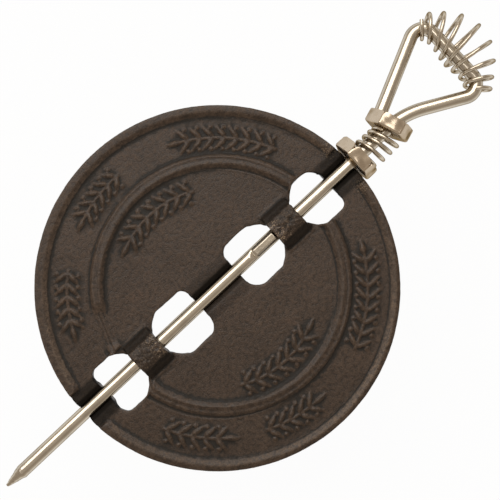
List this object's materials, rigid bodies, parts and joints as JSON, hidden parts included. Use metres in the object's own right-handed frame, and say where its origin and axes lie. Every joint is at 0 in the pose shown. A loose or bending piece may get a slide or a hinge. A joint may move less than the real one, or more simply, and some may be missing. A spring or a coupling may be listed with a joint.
{
  "type": "stovepipe damper",
  "caption": "Round cast iron stovepipe damper plate on a bent steel spindle, with a spring between two hex cups and a barrel coil handle.",
  "frame": {"origin": "the plate's centre, on the axis of the spindle, at half the web's thickness", "axes": "+X along the spindle from the plate's centre to the handle, +Z out of the plate's front face, which looks up the flue when the damper is shut, +Y across the plate"},
  "size_m": [0.2641, 0.146, 0.0212],
  "materials": {
    "plate_iron": "bare sand-cast iron, dark grey-brown and finely grained, with a little brown oxide",
    "spindle_steel": "nickel-plated drawn steel rod, bright and slightly warm",
    "coil_steel": "nickel-plated spring wire, bright and slightly warm",
    "cup_steel": "nickel-plated pressed sheet steel, bright and slightly warm"
  },
  "bodies": {
    "washer": {"pipe_washer": "cup_steel"},
    "plate": {"damper_plate": "plate_iron"},
    "spring": {"pressure_spring": "coil_steel"},
    "handle": {"spindle": "spindle_steel", "keeper_cap": "cup_steel", "handle_coil": "coil_steel"}
  },
  "joints": [
    {"name": "damper_turn", "type": "hinge", "parent": "washer", "child": "plate", "pos_m": [0, 0, 0], "axis": [1, 0, 0], "continuous": true},
    {"name": "lug_release", "type": "hinge", "parent": "plate", "child": "spring", "pos_m": [0, 0, 0], "axis": [1, 0, 0], "range_deg": [0, 180]},
    {"name": "handle_push", "type": "slide", "parent": "spring", "child": "handle", "axis": [-1, 0, 0], "range_m": [0, 0.005], "stiffness_N_per_m": 6500, "deforming": ["pressure_spring"]}
  ]
}
